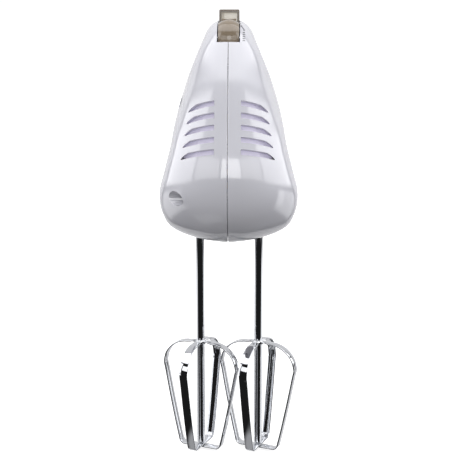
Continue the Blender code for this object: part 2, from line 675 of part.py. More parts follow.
def strip_path():
    """Half of one cage loop, as distance from the axis and height, from the hub out and down to the foot."""
    hub, foot_h = 5.2, CAGE_TOP_H - CAGE_DEPTH
    shoulder_h = CAGE_TOP_H - 18.0
    path = [(hub, CAGE_TOP_H), (hub + 3.5, CAGE_TOP_H - 0.6)]
    for step in range(6):
        a = math.radians(90.0 - 15.0 * step - 8.0)
        path.append((9.4 + 18.0 * math.cos(a), shoulder_h + 17.4 * math.sin(a)))
    path.append((CAGE_RADIUS, shoulder_h))
    path.append((CAGE_RADIUS - 1.2, shoulder_h - 5.5))
    corner = 4.0
    for step in range(5):
        a = math.radians(-8.0 - 82.0 * step / 4.0)
        path.append((CAGE_FOOT_RADIUS - corner + corner * math.cos(a) + 0.4, foot_h + corner + corner * math.sin(a)))
    return path


def cage_loop(x, direction, drop):
    """A flat strip bent into a U that passes under the rod's end, both ends at the hub."""
    half = strip_path()
    path = [(radius, h - drop * (radius < CAGE_FOOT_RADIUS and h < CAGE_TOP_H - 60.0)) for radius, h in half]
    path = path + [(0.0, path[-1][1])] + [(-radius, h) for radius, h in reversed(path)]
    shape = bmesh.new()
    out = Vector((math.cos(direction), math.sin(direction), 0.0))
    flat = Vector((-math.sin(direction), math.cos(direction), 0.0))
    rings = []
    for index, (radius, h) in enumerate(path):
        before = path[max(index - 1, 0)]
        after = path[min(index + 1, len(path) - 1)]
        run = Vector((after[0] - before[0], 0.0, after[1] - before[1])).normalized()
        normal = Vector((-run.z, 0.0, run.x))
        centre = Vector((x, 0.0, h)) + out * radius
        thick = (out * normal.x + Vector((0.0, 0.0, normal.z))) * (STRIP_THICKNESS / 2.0)
        wide = flat * (STRIP_WIDTH / 2.0)
        rings.append([shape.verts.new(centre + offset) for offset in
                      (wide + thick, thick - wide, -wide - thick, wide - thick)])
    for near, far in zip(rings, rings[1:]):
        for corner in range(4):
            after = (corner + 1) % 4
            shape.faces.new((near[corner], near[after], far[after], far[corner]))
    shape.faces.new(rings[0])
    shape.faces.new(rings[-1])
    return shape


def make_beater(name, x, chrome, plastic):
    """Rod, hub collar and two crossing loops of one beater, with the ring it passes through."""
    foot_h = CAGE_TOP_H - CAGE_DEPTH
    pivot = (x, 0.0, CAGE_TOP_H)
    profile = ((ROD_RADIUS, foot_h + 1.2), (ROD_RADIUS, ROD_TOP_H - 2.0), (ROD_RADIUS - 1.0, ROD_TOP_H))
    add_piece(f"{name}_beater_rod", turned(profile, "Z", (x, 0.0, 0.0), 20), chrome, pivot)
    collar = ((3.4, -2.2), (4.4, -2.2), (4.9, -1.4), (4.9, 0.6), (4.3, 1.6), (3.4, 2.2))
    add_piece(f"{name}_beater_hub", turned(collar, "Z", pivot, 20, ring=True), chrome, pivot)
    phase = math.pi / 2.0 * 3.0 - CAGE_PHASE
    add_piece(f"{name}_beater_loop", cage_loop(x, phase, 0.0), chrome, pivot)
    add_piece(f"{name}_beater_cross_loop", cage_loop(x, phase + math.pi / 2.0, 1.4), chrome, pivot)
    ring = ((5.4, -1.2), (6.4, -1.4), (7.6, -0.9), (7.6, -0.35), (7.0, -0.35), (7.0, 2.6), (5.4, 2.6))
    add_piece(f"{name}_socket_ring", turned(ring, "Z", (x, 0.0, 0.0), 16, ring=True), plastic)


def main():
    clear_scene()
    white = make_material("white_shell", (0.86, 0.86, 0.88), 0.16)
    taupe = make_material("taupe_control", (0.25, 0.20, 0.15), 0.30)
    rubber = make_material("grey_rubber", (0.16, 0.16, 0.17), 0.75)
    nylon = make_material("natural_nylon", (0.72, 0.70, 0.62), 0.55)
    board = make_material("board_plastic", (0.10, 0.22, 0.14), 0.55)
    chrome = make_material("chrome_wire", (0.85, 0.85, 0.86), 0.08, 1.0)
    steel = make_material("plain_steel", (0.55, 0.55, 0.56), 0.32, 1.0)
    copper = make_material("winding_copper", (0.62, 0.28, 0.12), 0.35, 1.0)
    brass = make_material("sintered_bronze", (0.60, 0.44, 0.20), 0.40, 1.0)
    lamination = make_material("core_lamination", (0.30, 0.30, 0.32), 0.45, 1.0)
    carbon = make_material("brush_carbon", (0.04, 0.04, 0.045), 0.80)
    make_shell("left_shell", -1.0, white)
    make_shell("right_shell", 1.0, white)
    make_vent_screens(white)
    make_screws(steel)
    make_rear_fittings(nylon, rubber, steel)
    make_dial(taupe, steel)
    make_switch(board, steel)
    make_ejector(taupe, nylon, steel)
    make_motor(lamination, copper, steel, nylon, brass, carbon)
    make_gearbox(nylon, steel, brass)
    make_beater("left", -BEATER_X, chrome, white)
    make_beater("right", BEATER_X, chrome, white)


main()
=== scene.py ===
import json
import math

import bmesh
import bpy
import numpy as np
from mathutils import Matrix, Vector
from mathutils.bvhtree import BVHTree


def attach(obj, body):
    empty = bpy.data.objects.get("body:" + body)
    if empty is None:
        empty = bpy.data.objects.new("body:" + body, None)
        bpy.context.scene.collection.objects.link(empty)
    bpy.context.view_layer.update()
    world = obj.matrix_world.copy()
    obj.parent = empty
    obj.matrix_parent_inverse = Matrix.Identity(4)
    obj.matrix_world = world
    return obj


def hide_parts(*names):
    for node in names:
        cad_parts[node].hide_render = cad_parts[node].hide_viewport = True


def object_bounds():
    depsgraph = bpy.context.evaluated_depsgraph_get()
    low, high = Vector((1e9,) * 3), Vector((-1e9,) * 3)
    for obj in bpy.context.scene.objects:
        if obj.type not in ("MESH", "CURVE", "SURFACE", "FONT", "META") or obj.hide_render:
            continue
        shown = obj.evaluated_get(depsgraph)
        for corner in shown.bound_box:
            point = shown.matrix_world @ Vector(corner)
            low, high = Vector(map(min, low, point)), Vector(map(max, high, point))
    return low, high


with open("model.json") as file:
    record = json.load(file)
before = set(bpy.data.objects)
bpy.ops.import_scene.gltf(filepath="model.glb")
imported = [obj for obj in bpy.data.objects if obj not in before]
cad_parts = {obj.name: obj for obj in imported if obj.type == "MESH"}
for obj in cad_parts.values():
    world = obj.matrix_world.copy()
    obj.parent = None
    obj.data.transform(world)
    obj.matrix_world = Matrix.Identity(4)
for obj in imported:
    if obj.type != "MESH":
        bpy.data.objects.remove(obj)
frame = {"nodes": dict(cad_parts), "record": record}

cad_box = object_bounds()


# Camera: the mixer is seen from in front of its nose, a little above the middle and a touch to the right,
# from about arm's length. The beaters stand at the camera's aim.
BEATER_PLANE_Y = -0.056
UNDERSIDE_Z = -0.1255
CAMERA_DISTANCE = 0.600
CAMERA_X, CAMERA_Z = 0.0136, -0.0210
AIM_X, AIM_ABOVE_UNDERSIDE = 0.0004, 0.0009
camera_data = bpy.data.cameras.new("mixer_view")
camera_data.lens = 70.0
camera_data.sensor_width = 36.0
camera_data.clip_start = 0.01
camera = bpy.data.objects.new("mixer_view", camera_data)
bpy.context.scene.collection.objects.link(camera)
camera.location = (CAMERA_X, BEATER_PLANE_Y - CAMERA_DISTANCE, CAMERA_Z)
camera_aim = Vector((AIM_X, BEATER_PLANE_Y, UNDERSIDE_Z + AIM_ABOVE_UNDERSIDE))
camera.rotation_euler = (camera_aim - camera.location).to_track_quat("-Z", "Y").to_euler()
bpy.context.scene.camera = camera


# Room: a pale sweep of card that lies under the mixer and curves up behind it. It is lit evenly, and neither
# its light nor its reflection reaches the mixer.
FLOOR_Z = cad_box[0][2] - 0.002
SWEEP_FRONT_Y, SWEEP_BEND_Y, SWEEP_RADIUS = -1.4, 0.9, 0.5
SWEEP_TOP, SWEEP_HALF_WIDTH, SWEEP_BEND_STEPS = 2.6, 2.2, 12
CARD_GREY, CARD_ROUGHNESS, CARD_GLOW = (0.55, 0.55, 0.55, 1.0), 0.9, 0.75
sweep = bmesh.new()
sweep_line = [(SWEEP_FRONT_Y, 0.0), (SWEEP_BEND_Y, 0.0)]
for step in range(1, SWEEP_BEND_STEPS + 1):
    bend = math.pi / 2.0 * step / SWEEP_BEND_STEPS
    sweep_line.append((SWEEP_BEND_Y + SWEEP_RADIUS * math.sin(bend), SWEEP_RADIUS * (1.0 - math.cos(bend))))
sweep_line.append((SWEEP_BEND_Y + SWEEP_RADIUS, SWEEP_TOP))
sweep_rows = [
    [sweep.verts.new((x, y, FLOOR_Z + z)) for x in (-SWEEP_HALF_WIDTH, SWEEP_HALF_WIDTH)]
    for y, z in sweep_line
]
for near, far in zip(sweep_rows, sweep_rows[1:]):
    sweep.faces.new((near[0], near[1], far[1], far[0])).smooth = True
sweep_mesh = bpy.data.meshes.new("pale_sweep")
sweep.to_mesh(sweep_mesh)
sweep.free()
pale_sweep = bpy.data.objects.new("pale_sweep", sweep_mesh)
bpy.context.scene.collection.objects.link(pale_sweep)
pale_sweep.visible_glossy = False
pale_sweep.visible_diffuse = False
sweep_paint = bpy.data.materials.new("pale_sweep")
sweep_paint.use_nodes = True
sweep_shader = sweep_paint.node_tree.nodes["Principled BSDF"]
sweep_shader.inputs["Base Color"].default_value = CARD_GREY
sweep_shader.inputs["Roughness"].default_value = CARD_ROUGHNESS
sweep_shader.inputs["Emission Color"].default_value = (1.0, 1.0, 1.0, 1.0)
sweep_shader.inputs["Emission Strength"].default_value = CARD_GLOW
sweep_mesh.materials.append(sweep_paint)


# Light: a soft studio drawn on the sky round the mixer, with an overhead box, a tall box at each side and
# paler walls behind. Three flat windows stand in front of it, and the low front is dark.
room = bpy.data.worlds.new("soft_studio")
room.use_nodes = True
room.node_tree.nodes.clear()


def add_node(tree, kind, inputs=None, **settings):
    """Adds a node, sets its properties and its plain inputs, and links the inputs that are given sockets."""
    node = tree.nodes.new(kind)
    for name, value in settings.items():
        setattr(node, name, value)
    for name, value in (inputs or {}).items():
        if isinstance(value, bpy.types.NodeSocket):
            tree.links.new(value, node.inputs[name])
        else:
            node.inputs[name].default_value = value
    return node


def maths(tree, operation, first, second=0.0):
    return add_node(tree, "ShaderNodeMath", {0: first, 1: second}, operation=operation).outputs[0]


def soft_step(tree, value, start, end):
    """0 below start and 1 above end, with a smooth edge."""
    return add_node(
        tree, "ShaderNodeMapRange", {"Value": value, "From Min": start, "From Max": end},
        interpolation_type="SMOOTHSTEP",
    ).outputs["Result"]


sky = room.node_tree
towards = add_node(sky, "ShaderNodeTexCoord").outputs["Generated"]
parts = add_node(sky, "ShaderNodeSeparateXYZ", {0: towards}).outputs
forward = maths(sky, "MULTIPLY", parts["Y"], -1.0)
turn = maths(sky, "MULTIPLY", maths(sky, "ARCTAN2", parts["X"], forward), 180.0 / math.pi)
rise = maths(sky, "MULTIPLY", maths(sky, "ARCSINE", parts["Z"]), 180.0 / math.pi)
# The overhead box's edge hangs lower at its sides than in the middle, by the sag times the turn squared.
BOX_EDGE, BOX_SAG = 42.0, 0.00155
sag = maths(sky, "MULTIPLY", maths(sky, "POWER", maths(sky, "ABSOLUTE", turn), 2.0), BOX_SAG)
sagged_rise = maths(sky, "ADD", rise, sag)
# Each panel: the turns from straight in front and the heights between which it stands, in degrees, the
# softness of its edges and its radiance.
STUDIO_PANELS = (
    ("overhead", -128.0, 128.0, BOX_EDGE, 125.0, 5.0, 2.15),
    ("left_side", -128.0, -60.0, -2.0, BOX_EDGE, 5.0, 2.25),
    ("right_side", 60.0, 128.0, -2.0, BOX_EDGE, 5.0, 2.25),
    ("left_floor_glow", -128.0, -78.0, -38.0, -2.0, 7.0, 1.15),
    ("right_floor_glow", 84.0, 128.0, -38.0, -2.0, 7.0, 1.15),
    ("right_low_strip", 84.0, 103.0, -30.0, -2.0, 5.0, 0.8),
    ("back_left", -200.0, -128.0, -95.0, 125.0, 6.0, 0.80),
    ("back_right", 128.0, 200.0, -95.0, 125.0, 6.0, 0.80),
    ("floor_patch", -85.0, -15.0, -66.0, -44.0, 5.0, 0.42),
    ("floor", -128.0, 128.0, -95.0, -50.0, 10.0, 0.07),
    ("dim_wall", -128.0, 128.0, -95.0, 125.0, 5.0, 0.015),
)
total = 0.0
for _, turn_low, turn_high, rise_low, rise_high, edge, radiance in STUDIO_PANELS:
    mask = radiance
    edges = [(turn, turn_low, edge), (turn, turn_high, -edge)]
    edges += [(sagged_rise if rise_low == BOX_EDGE else rise, rise_low, edge)]
    edges += [(sagged_rise if rise_high == BOX_EDGE else rise, rise_high, -edge)]
    for value, start, softness in edges:
        mask = maths(sky, "MULTIPLY", mask, soft_step(sky, value, start, start + softness))
    total = maths(sky, "ADD", total, mask)
seen = add_node(sky, "ShaderNodeLightPath").outputs["Is Camera Ray"]
level = add_node(sky, "ShaderNodeMix", {"Factor": seen, "A": total, "B": 1.0})
background = add_node(sky, "ShaderNodeBackground", {"Strength": level.outputs["Result"]})
ROOM_TINT = (1.0, 1.0, 1.02, 1.0)
background.inputs["Color"].default_value = ROOM_TINT
add_node(sky, "ShaderNodeOutputWorld", {"Surface": background.outputs[0]})
bpy.context.scene.world = room
bpy.context.scene.view_settings.view_transform = "Standard"

# The windows stand a metre off the nose, from the height of the body's widest part up. Each has its angle
# from straight in front in degrees, its width and its radiance.
WINDOW_DISTANCE, WINDOW_LOW_Z, WINDOW_HIGH_Z = 1.0, -0.068, 0.345
NOSE_FRONT_Y = -0.115
for name, angle, width, radiance in (
    ("window_left", -38.0, 0.78, 1.5), ("window_middle", 5.0, 0.62, 3.6), ("window_right", 42.0, 0.66, 1.5)
):
    light = bpy.data.lights.new(name, "AREA")
    light.shape = "RECTANGLE"
    light.size = width
    light.size_y = WINDOW_HIGH_Z - WINDOW_LOW_Z
    light.energy = radiance * math.pi * light.size * light.size_y
    window = bpy.data.objects.new(name, light)
    facing = math.radians(angle)
    window.location = (
        WINDOW_DISTANCE * math.sin(facing), NOSE_FRONT_Y - WINDOW_DISTANCE * math.cos(facing),
        (WINDOW_LOW_Z + WINDOW_HIGH_Z) / 2.0,
    )
    window.rotation_euler = (math.pi / 2.0, 0.0, facing)
    window.visible_camera = False
    bpy.context.scene.collection.objects.link(window)


# Body halves: two thin white ABS mouldings with a high gloss, left and right of a centre seam. They are
# moulded with their cooling slots and screw posts, and screwed together from the left.
# Below, x is across the body, y runs back from the beaters and h up from the underside, in millimetres.
MM = 0.001
GRIP_Y, GRIP_H = 56.0, 125.5
WALL = 2.2
SEAM_GAP = 0.3
HEEL_Y = 140.0
ROUND_STEPS, ACROSS_STEPS = 216, 40
# Side view, station by station round the finger hole from the nose down: outer y and h, inner y and h,
# then how far the side rounds off from the outer and from the inner edge.
BODY_STATIONS = (
    (-59.5, 42.0, 7.0, 82.0, 48.0, 16.0),
    (-54.0, 14.0, 12.0, 75.0, 42.0, 18.0),
    (-33.0, -3.0, 20.0, 71.0, 16.0, 20.0),
    (5.0, -4.0, 34.0, 70.0, 6.0, 22.0),
    (50.0, -4.0, 56.0, 70.0, 6.0, 22.0),
    (98.0, -4.0, 84.0, 70.5, 8.0, 20.0),
    (131.0, 3.0, 98.0, 74.0, 16.0, 16.0),
    (143.0, 28.0, 104.0, 81.0, 20.0, 14.0),
    (143.5, 62.0, 106.0, 89.0, 20.0, 14.0),
    (140.0, 97.0, 104.5, 98.0, 18.0, 14.0),
    (127.0, 123.0, 98.0, 105.5, 15.0, 13.0),
    (98.0, 135.5, 84.0, 109.0, 13.5, 13.0),
    (56.0, 141.5, 56.0, 109.5, 16.0, 15.0),
    (20.0, 142.2, 30.0, 109.0, 16.0, 15.0),
    (-8.0, 140.2, 15.0, 106.0, 14.0, 14.0),
    (-27.5, 130.5, 9.0, 100.0, 24.0, 12.0),
    (-42.0, 104.0, 6.5, 93.0, 42.0, 12.0),
    (-52.0, 74.0, 6.0, 87.0, 48.0, 13.0),
)
NOSE_HALF_WIDTHS = (
    (-4.0, 22.0), (0.0, 26.0), (2.0, 30.6), (7.0, 37.6), (15.0, 42.2), (29.5, 44.8), (44.0, 41.6),
    (60.0, 37.6), (75.0, 35.0), (90.0, 31.6), (105.0, 26.4), (120.0, 20.2), (130.0, 16.4), (143.0, 15.0),
)
HEEL_HALF_WIDTHS = (
    (-4.0, 18.0), (4.0, 27.0), (20.0, 34.0), (35.0, 35.5), (60.0, 32.0), (75.0, 26.0), (92.0, 19.5),
    (108.0, 16.2), (124.0, 16.0), (143.0, 15.6),
)
HEEL_BLEND_Y = (0.0, 55.0)
SHELL_SCREWS = {
    "nose_screw": (-45.2, 28.6),
    "column_screw": (-12.0, 86.0),
    "rear_upper_screw": (120.0, 107.0),
    "rear_lower_screw": (122.0, 17.0),
}
SCREW_RECESS_RADIUS = 4.6
SCREW_FLOOR_X = -9.0
SCREW_POST_RADIUS = 6.4
DIAL_Y, DIAL_H = -15.4, 127.4
BEATER_X = 20.0
VENT_COUNT = 5
VENT_TOP_H, VENT_BOTTOM_H = 88.5, 59.1
VENT_INNER_X = 8.2
VENT_OUTER_X = (25.2, 29.4)
VENT_HEIGHT = 3.5
VENT_TILT = math.radians(22.0)
VENT_CUT_Y = (-6.0, 26.0)
PAST_SIDE = 70.0
SHANK_RADIUS, THREAD_RADIUS, THREAD_DEPTH = 1.9, 1.8, 10.5
AXLE_POST_RADIUS, AXLE_POST_X = 4.0, (7.9, 40.0)
AXLE_HOLE_RADIUS, AXLE_HOLE_X = 2.3, (7.5, 11.9)
CONTROL_OPENING = ((-7.3, -34.0, 125.1), (7.3, 4.2, 152.0))
BEATER_HOLE_RADIUS = 7.3
CORD_HOLE_RADIUS, CORD_H = 4.9, 88.0
SHELL_SHARP_DEGREES = 32.0


def body_point(x, y, h):
    return Vector((x, y - GRIP_Y, h - GRIP_H)) * MM


TO_FRAME = Matrix.Scale(MM, 4) @ Matrix.Translation((0.0, -GRIP_Y, -GRIP_H))


def outward(shape):
    """Turns every face of one closed shape to the outside."""
    bmesh.ops.recalc_face_normals(shape, faces=shape.faces)
    if shape.calc_volume(signed=True) < 0.0:
        bmesh.ops.reverse_faces(shape, faces=shape.faces)
    return shape


def smooth_mesh(name, shape, sharp_degrees=SHELL_SHARP_DEGREES):
    """Turns a shape in body millimetres into a smooth-shaded mesh in metres."""
    shape.transform(TO_FRAME)
    mesh = bpy.data.meshes.new(name)
    shape.to_mesh(mesh)
    shape.free()
    mesh.shade_smooth()
    mesh.set_sharp_from_angle(angle=math.radians(sharp_degrees))
    return mesh


def place_piece(name, mesh, material, body, stands_for=()):
    """Puts a finished mesh in the scene, on its body, with its material and the CAD nodes it stands for."""
    piece = bpy.data.objects.new(name, mesh)
    bpy.context.scene.collection.objects.link(piece)
    mesh.materials.clear()
    mesh.materials.append(material)
    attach(piece, body)
    if stands_for:
        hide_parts(*stands_for)
    return piece


def carve(mesh, steps):
    """Runs Booleans on a mesh. Steps are (operation, tool mesh); the finished mesh comes back."""
    work = bpy.data.objects.new("carving", mesh)
    bpy.context.scene.collection.objects.link(work)
    tools = []
    for operation, tool_mesh in steps:
        tool = bpy.data.objects.new("carving_tool", tool_mesh)
        bpy.context.scene.collection.objects.link(tool)
        tools.append(tool)
        modifier = work.modifiers.new(operation, "BOOLEAN")
        modifier.operation = operation
        modifier.object = tool
        modifier.solver = "EXACT"
    bpy.context.view_layer.update()
    result = bpy.data.meshes.new_from_object(work.evaluated_get(bpy.context.evaluated_depsgraph_get()))
    result.name = mesh.name
    for thing in (work, *tools):
        bpy.data.objects.remove(thing)
    return result


def turned(profile, axis, centre, steps=64, ring=False):
    """A turned solid. Its profile is (radius, distance along the axis), and a ring's closes on itself."""
    quarter = math.pi / 2.0
    turns = {"X": Matrix.Rotation(quarter, 4, "Y"), "Y": Matrix.Rotation(-quarter, 4, "X")}
    shape = bmesh.new()
    angles = [2.0 * math.pi * step / steps for step in range(steps)]
    rings = [
        [shape.verts.new((radius * math.cos(a), radius * math.sin(a), along)) for a in angles]
        for radius, along in profile
    ]
    pairs = list(zip(rings, rings[1:] + rings[:1] if ring else rings[1:]))
    if not ring:
        shape.faces.new(rings[0])
        shape.faces.new(rings[-1])
    for near, far in pairs:
        for step in range(steps):
            after = (step + 1) % steps
            shape.faces.new((near[step], near[after], far[after], far[step]))
    shape.transform(Matrix.Translation(centre) @ turns.get(axis, Matrix.Identity(4)))
    return outward(shape)


def block(low, high, rounding=0.0, segments=3):
    """A box between two corners, with its edges rounded."""
    shape = bmesh.new()
    middle = (Vector(low) + Vector(high)) / 2.0
    size = Vector(high) - Vector(low)
    bmesh.ops.create_cube(shape, size=1.0, matrix=Matrix.Translation(middle) @ Matrix.Diagonal((*size, 1.0)))
    if rounding:
        bmesh.ops.bevel(
            shape, geom=shape.edges[:], offset=rounding, segments=segments, profile=0.5, affect="EDGES"
        )
    return shape


def join(shapes):
    """One shape out of several separate ones."""
    whole = shapes[0]
    for other in shapes[1:]:
        mesh = bpy.data.meshes.new("joined")
        other.to_mesh(mesh)
        whole.from_mesh(mesh)
        bpy.data.meshes.remove(mesh)
        other.free()
    return whole


def through_points(points, value):
    """A smooth curve through (place, height) points, read at one place."""
    places = [place for place, _ in points]
    heights = [height for _, height in points]
    value = min(max(value, places[0]), places[-1])
    slopes = np.gradient(heights, places)
    high = min(int(np.searchsorted(places, value, side="right")), len(places) - 1)
    low = high - 1
    span = places[high] - places[low]
    share = (value - places[low]) / span
    rest = 1.0 - share
    return (
        heights[low] * (1.0 + 2.0 * share) * rest**2
        + slopes[low] * span * share * rest**2
        + heights[high] * share**2 * (3.0 - 2.0 * share)
        - slopes[high] * span * share**2 * rest
    )


def station_at(place):
    """The six station values at a place round the hole, on a closed Catmull-Rom curve."""
    count = len(BODY_STATIONS)
    index = int(math.floor(place)) % count
    share = place - math.floor(place)
    before, near, far, after = (
        np.array(BODY_STATIONS[(index + step) % count]) for step in (-1, 0, 1, 2)
    )
    return 0.5 * (
        2.0 * near
        + (far - before) * share
        + (2.0 * before - 5.0 * near + 4.0 * far - after) * share**2
        + (3.0 * near - before - 3.0 * far + after) * share**3
    )


def half_width(y, h):
    """Half the body's width, which blends from the nose's section to the heel's."""
    nose = through_points(NOSE_HALF_WIDTHS, h)
    heel = through_points(HEEL_HALF_WIDTHS, h)
    share = min(max((y - HEEL_BLEND_Y[0]) / (HEEL_BLEND_Y[1] - HEEL_BLEND_Y[0]), 0.0), 1.0)
    return nose + (heel - nose) * share**2 * (3.0 - 2.0 * share)


def edge_rounding(distance, depth):
    """The share of the full width at a distance in from an edge that rounds off over a depth."""
    return math.sqrt(1.0 - (1.0 - distance / depth) ** 2) if distance < depth else 1.0


def body_skin():
    """Points of the body's outer skin on the +x side, from the hole's edge to the outer edge."""
    skin = np.empty((ROUND_STEPS, ACROSS_STEPS + 1, 3))
    for turn in range(ROUND_STEPS):
        outer_y, outer_h, inner_y, inner_h, outer_depth, inner_depth = station_at(
            turn * len(BODY_STATIONS) / ROUND_STEPS
        )
        length = math.hypot(outer_y - inner_y, outer_h - inner_h)
        for step in range(ACROSS_STEPS + 1):
            share = (1.0 - math.cos(math.pi * step / ACROSS_STEPS)) / 2.0
            y = inner_y + (outer_y - inner_y) * share
            h = inner_h + (outer_h - inner_h) * share
            rounding = edge_rounding(length * share, inner_depth)
            rounding *= edge_rounding(length * (1.0 - share), outer_depth)
            skin[turn, step] = (half_width(y, max(h, 0.0)) * rounding, min(y, HEEL_Y), max(h, 0.0))
    return skin


def skin_normals(skin):
    """Outward normals, with the skin mirrored over the seam so that the seam's normals lie in its plane."""
    along = np.roll(skin, -1, axis=0) - np.roll(skin, 1, axis=0)
    mirror = np.array((-1.0, 1.0, 1.0))
    padded = np.concatenate([skin[:, 1:2] * mirror, skin, skin[:, -2:-1] * mirror], axis=1)
    normals = np.cross(along, padded[:, 2:] - padded[:, :-2])
    normals /= np.linalg.norm(normals, axis=2, keepdims=True)
    return normals if normals[:, ACROSS_STEPS // 2, 0].mean() > 0.0 else -normals


skin_points = body_skin()
skin_outward = skin_normals(skin_points)


def inset_skin(depth):
    """The skin moved in by a depth, kept off the seam."""
    points = skin_points - skin_outward * depth
    points[:, :, 0] = np.maximum(points[:, :, 0], SEAM_GAP / 2.0)
    points[:, (0, -1), 0] = SEAM_GAP / 2.0
    return points


def softened(points):
    """The outer skin with each seam edge eased: a point just off the seam stays, and the edge drops in."""
    edge_x, drop = 0.5, 0.22
    eased = []
    for row, outward in zip(points, skin_outward):
        row = [Vector(point) for point in row]
        middle = row[1:-1]
        for end, beside, at in ((row[0], row[1], 0), (row[-1], row[-2], len(middle) + 1)):
            share = min((edge_x - end.x) / max(beside.x - end.x, 1e-6), 0.9)
            middle.insert(at, end.lerp(beside, share))
        first = row[0] - Vector(outward[0]) * drop
        last = row[-1] - Vector(outward[-1]) * drop
        eased.append([first, *middle, last])
    return eased


def skin_grid(shape, rows, side):
    return [[shape.verts.new((side * x, y, h)) for x, y, h in row] for row in rows]


def grid_faces(shape, grid):
    for turn, near in enumerate(grid):
        far = grid[(turn + 1) % len(grid)]
        for step in range(len(near) - 1):
            shape.faces.new((near[step], far[step], far[step + 1], near[step + 1]))


def rim_faces(shape, first, second):
    for turn in range(len(first)):
        after = (turn + 1) % len(first)
        shape.faces.new((first[turn], first[after], second[after], second[turn]))


def half_shell(side):
    shape = bmesh.new()
    outer = skin_grid(shape, softened(inset_skin(0.0)), side)
    inner = skin_grid(shape, inset_skin(WALL), side)
    grid_faces(shape, outer)
    grid_faces(shape, inner)
    for edge in (0, -1):
        rim_faces(shape, [row[edge] for row in outer], [row[edge] for row in inner])
    return outward(shape)


def half_envelope(side):
    """The closed volume inside the middle of one half's wall, which trims its posts."""
    shape = bmesh.new()
    skin = skin_grid(shape, inset_skin(WALL / 2.0), side)
    grid_faces(shape, skin)
    rim_faces(shape, [row[0] for row in skin], [row[-1] for row in skin])
    return outward(shape)


def nose_line(h):
    """How far forward the nose reaches at a height."""
    heights = sorted((outer_h, outer_y) for outer_y, outer_h, *_ in BODY_STATIONS if outer_y < -20.0)
    return through_points(heights, h)


def vent_cutters(side):
    """Slots that start square near the seam and end in a point, and follow planes square to the nose."""
    slots = []
    for slot in range(VENT_COUNT):
        share = slot / (VENT_COUNT - 1)
        h = VENT_TOP_H + (VENT_BOTTOM_H - VENT_TOP_H) * share
        outer_x = VENT_OUTER_X[0] + (VENT_OUTER_X[1] - VENT_OUTER_X[0]) * share
        high = VENT_HEIGHT / 2.0
        outline = [(VENT_INNER_X, -high + 0.3), (VENT_INNER_X + 0.3, -high), (outer_x - 0.6, -high)]
        outline += [(outer_x, -high + 0.4), (outer_x - 0.8, -high + 1.3), (outer_x - 2.6, high - 1.0)]
        outline += [(outer_x - 5.0, high), (VENT_INNER_X + 0.3, high), (VENT_INNER_X, high - 0.3)]
        shape = bmesh.new()
        front, back = ([shape.verts.new((side * x, y, z)) for x, z in outline] for y in VENT_CUT_Y)
        rim_faces(shape, front, back)
        shape.faces.new(front)
        shape.faces.new(back)
        shape.transform(Matrix.Translation((0.0, nose_line(h), h)) @ Matrix.Rotation(-VENT_TILT, 4, "X"))
        slots.append(outward(shape))
    return slots


def shell_posts(side):
    """A post for each screw, and one for the dial's axle."""
    screw_post = ((SCREW_POST_RADIUS, side * SEAM_GAP / 2.0), (SCREW_POST_RADIUS, side * PAST_SIDE))
    axle_post = [(AXLE_POST_RADIUS, side * x) for x in AXLE_POST_X]
    posts = [turned(screw_post, "X", (0.0, y, h), 40) for y, h in SHELL_SCREWS.values()]
    posts.append(turned(axle_post, "X", (0.0, DIAL_Y, DIAL_H), 32))
    return posts


def shell_openings(side):
    """Everything cut from one half: vents, controls, beater hole, cord inlet, axle hole and screw holes."""
    beater_hole = ((BEATER_HOLE_RADIUS, -6.0), (BEATER_HOLE_RADIUS, 5.0))
    cord_hole = ((CORD_HOLE_RADIUS, -8.0), (CORD_HOLE_RADIUS, 6.0))
    axle_hole = [(AXLE_HOLE_RADIUS, side * x) for x in AXLE_HOLE_X]
    recess = ((SHANK_RADIUS, 1.0), (SHANK_RADIUS, SCREW_FLOOR_X), (SCREW_RECESS_RADIUS, SCREW_FLOOR_X),
              (SCREW_RECESS_RADIUS, -PAST_SIDE))
    thread_hole = ((THREAD_RADIUS, -1.0), (THREAD_RADIUS, THREAD_DEPTH))
    screw_hole, screw_steps = (recess, 40) if side < 0.0 else (thread_hole, 24)
    cutters = vent_cutters(side)
    cutters.append(block(*CONTROL_OPENING))
    cutters.append(turned(beater_hole, "Z", (side * BEATER_X, 0.0, 0.0)))
    cutters.append(turned(cord_hole, "Y", (0.0, HEEL_Y, CORD_H)))
    cutters.append(turned(axle_hole, "X", (0.0, DIAL_Y, DIAL_H), 24))
    for y, h in SHELL_SCREWS.values():
        cutters.append(turned(screw_hole, "X", (0.0, y, h), screw_steps))
    return cutters


# The finish of moulded plastic, shared by every plastic piece: the faint waviness that gloss shows, fine
# hairline wear and a slow drift of tone. Each material gives it its own colours and strengths.
def finish_group(name, colours, numbers):
    """An empty finish: named colours and numbers go in, and colour, roughness and height come out."""
    group = bpy.data.node_groups.new(name, "ShaderNodeTree")
    colour, number = "NodeSocketColor", "NodeSocketFloat"
    for socket_name in colours:
        group.interface.new_socket(socket_name, in_out="INPUT", socket_type=colour)
    for socket_name in numbers:
        group.interface.new_socket(socket_name, in_out="INPUT", socket_type=number)
    for socket_name, kind in (("Colour", colour), ("Roughness", number), ("Height", number)):
        group.interface.new_socket(socket_name, in_out="OUTPUT", socket_type=kind)
    return group


